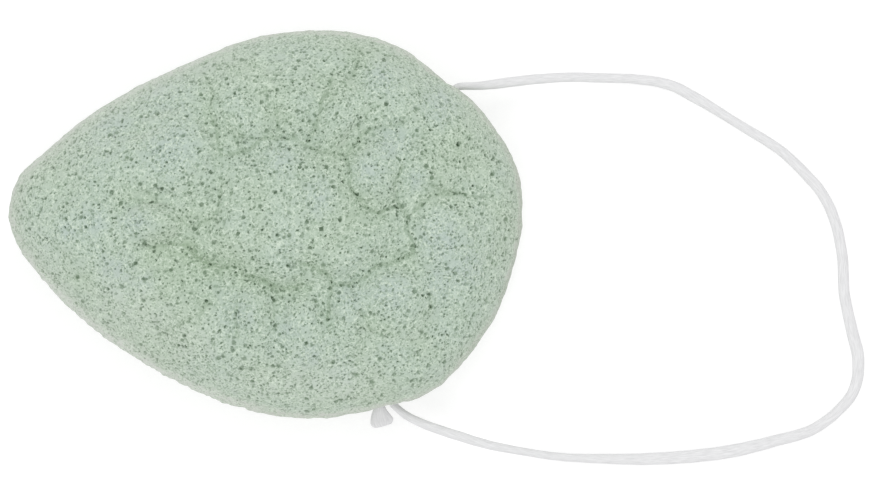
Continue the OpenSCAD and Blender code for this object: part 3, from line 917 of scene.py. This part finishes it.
def crumple(points, normals):
    """Gives the foam's points their creases, skin, lumps and bubbles, and returns the marks that
    its material takes its colours by: painted shade in the bubbles, creases and hollows and on the
    skin towards the cord's end, and painted light on the rim."""
    crown = ramp_to(points[:, 2], *CROWN_HEIGHTS) * ramp_to(normals[:, 2], *CROWN_NORMALS)
    fold, hollow_and_painted_shade, opened = fold_crown(points, crown)

    turned = np.degrees(np.arctan2(points[:, 1], points[:, 0]))
    blunt = bell(turned - BLUNT_AT[0], BLUNT_AT[1]) * (1 - ramp_to(normals[:, 2], *BLUNT_NORMALS))
    points[:, :2] += BLUNT_DEEP * blunt[:, None] * np.array(BLUNT_WAY)

    front_left = within(-turned, *FRONT_LEFT)
    edge = SKIN_EDGE + FRONT_LEFT_HIGHER * front_left + FRONT_HIGHER * within(-turned, *FRONT)
    edge += sum(SKIN_FRAY * lumps(points, size, seed) for size, seed in FRAY_LUMPS)
    skin = 1 - ramp_to(normals[:, 2], edge - SKIN_HALF_WIDTH, edge + SKIN_HALF_WIDTH)
    skin = skin * ramp_to(points[:, 2], *SKIN_HEIGHTS)

    # The foam is painted paler as light towards its rim, more so at the tip, and on its front flank
    rim = RIM_LEAST + (1 - RIM_LEAST) * ramp_to(-points[:, 0], *RIM_GROWS)
    rim = (1 - ramp_to(normals[:, 2], *RIM_NORMALS)) * rim
    for radius, line in PAINTED_LIGHT_FLANKS:
        rim = np.maximum(rim, FLANK_MUCH * bell(far_from(points[:, :2], line), radius * MM))

    cut = cut_bubbles(points, normals, crown, hollow_and_painted_shade, skin, front_left)
    give_way(points)
    points[:, 2] = np.maximum(points[:, 2], 0)

    blue = spots(points[:, :2], [(x, y, radius, 1) for x, y, radius in BLUE_PLACES])
    # Painted shade on a few places of the crown
    painted_shade_spots = spots(points[:, :2], PAINTED_SHADE_PLACES)
    x = points[:, 0]
    # The skin's white falls and its grey grows towards the cord's end as painted shade on that side
    skin_white_and_painted_shade = SKIN_WHITE - WHITE_LESS * ramp_to(x, *WHITE_FADES)
    painted_grey_shade = SKIN_GREY + GREY_MORE * ramp_to(x, *GREY_GROWS)
    # Painted shade on the floors of the cut bubbles, in the folds and in the wide open bubbles
    painted_pore_shade = SHALLOW_PORE * ramp_to(cut, *SHALLOW_DEPTHS) + DEEP_PORE * ramp_to(cut, *DEEP_DEPTHS)
    return {
        "painted_pore_shade": painted_pore_shade + FOLD_PORE * crown * fold + OPEN_PORE * opened,
        # Painted shade in the hollows, the folds and a few darker places of the crown
        "hollow_and_painted_shade": crown * (hollow_and_painted_shade * HOLLOW_DARK + FOLD_DARK * fold + painted_shade_spots),
        # Painted light on the rim and the front flank
        "rim": rim,
        "skin": skin * skin_white_and_painted_shade,
        # Painted shade over the skin towards the cord's end
        "painted_shade_on_skin": skin * ramp_to(x, *GREY_BEGINS) * painted_grey_shade,
        "blue": blue * crown * BLUE_MUCH,
    }


def make_foam(finish):
    """The puckered teardrop: the solid eased and refined, then creased, and its bubbles cut."""
    piece = loose_copy("sponge_body", "konjac_foam")
    close_channel(piece)
    radius, narrowing, deep = KNOT_DIMPLE
    drill(piece, "knot_dimple", radius, radius * narrowing, -OUTSIDE, deep, KNOT_DIMPLE_OFF)
    radius, narrowing, deep = STRAND_DIMPLE
    outside, inside = CHANNEL_LENGTH + OUTSIDE, CHANNEL_LENGTH - deep
    drill(piece, "strand_dimple", radius, radius * narrowing, outside, inside)
    apply_modifier(piece, "even", "REMESH", mode="VOXEL", voxel_size=VOXEL)
    apply_modifier(piece, "ease", "SMOOTH", factor=0.5, iterations=EASE_ROUNDS)
    apply_modifier(piece, "fine", "SUBSURF", levels=FINE_LEVELS, render_levels=FINE_LEVELS)
    mesh = piece.data
    points = vertex_values(mesh, "co")
    marks = crumple(points, vertex_values(mesh, "vector"))
    place_vertices(mesh, points)
    for name, values in marks.items():
        layer = mesh.attributes.new(name, "FLOAT", "POINT")
        layer.data.foreach_set("value", np.clip(values, 0, 1).astype(np.float32))
    mesh.shade_smooth()
    mesh.materials.clear()
    mesh.materials.append(finish)
    drill(piece, "channel", CHANNEL_RADIUS, CHANNEL_RADIUS, 0, CHANNEL_LENGTH)
    return piece


cotton = cotton_string()
loop, loop_line = make_loop(cotton)
knot, knot_exit, knot_way = make_knot(cotton)
tail = make_tail(cotton, knot_exit, knot_way)
channel_run = frame["nodes"]["cord_channel_run"]
channel_run.data.materials.clear()
channel_run.data.materials.append(cotton)
foam = make_foam(konjac_foam())

for piece, body, slot, node in (
    (foam, "sponge", "foam", "sponge_body"),
    (loop, "cord", "cord", "cord_loop"),
    (knot, "cord", "cord", "cord_knot"),
    (tail, "cord", "cord", "cord_tail"),
):
    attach(piece, body)
    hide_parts(node)

# Ground and light
GROUND_SIZE = 40
ROOM_STRENGTH = 0.745
# Large soft lamps that face the sponge: name, place, size and power
SOFTBOXES = [
    ("softbox_rear", (0.15, 0.9, 1.1), 0.7, 4.4),
    ("softbox_front", (-0.2, -0.85, 1.05), 0.7, 3.6),
    ("softbox_above", (-0.2, 0.1, 1.6), 0.9, 1.15),
]

bpy.ops.object.select_all(action="DESELECT")
bpy.ops.mesh.primitive_plane_add(size=GROUND_SIZE, location=(0, 0, 0))
ground = bpy.context.object
ground.name = "ground"
ground.data.materials.append(white_ground())

world = bpy.data.worlds.new("white_room")
bpy.context.scene.world = world
world.use_nodes = True
room = world.node_tree.nodes["Background"].inputs
room["Color"].default_value = linear("#FFFFFF")
room["Strength"].default_value = ROOM_STRENGTH

for name, place, size, power in SOFTBOXES:
    bpy.ops.object.light_add(type="AREA", location=place)
    lamp = bpy.context.object
    lamp.name = name
    lamp.data.shape = "SQUARE"
    lamp.data.size = size
    lamp.data.energy = power
    lamp.rotation_euler = Vector(place).to_track_quat("Z", "Y").to_euler()

bpy.context.scene.view_settings.view_transform = "Standard"
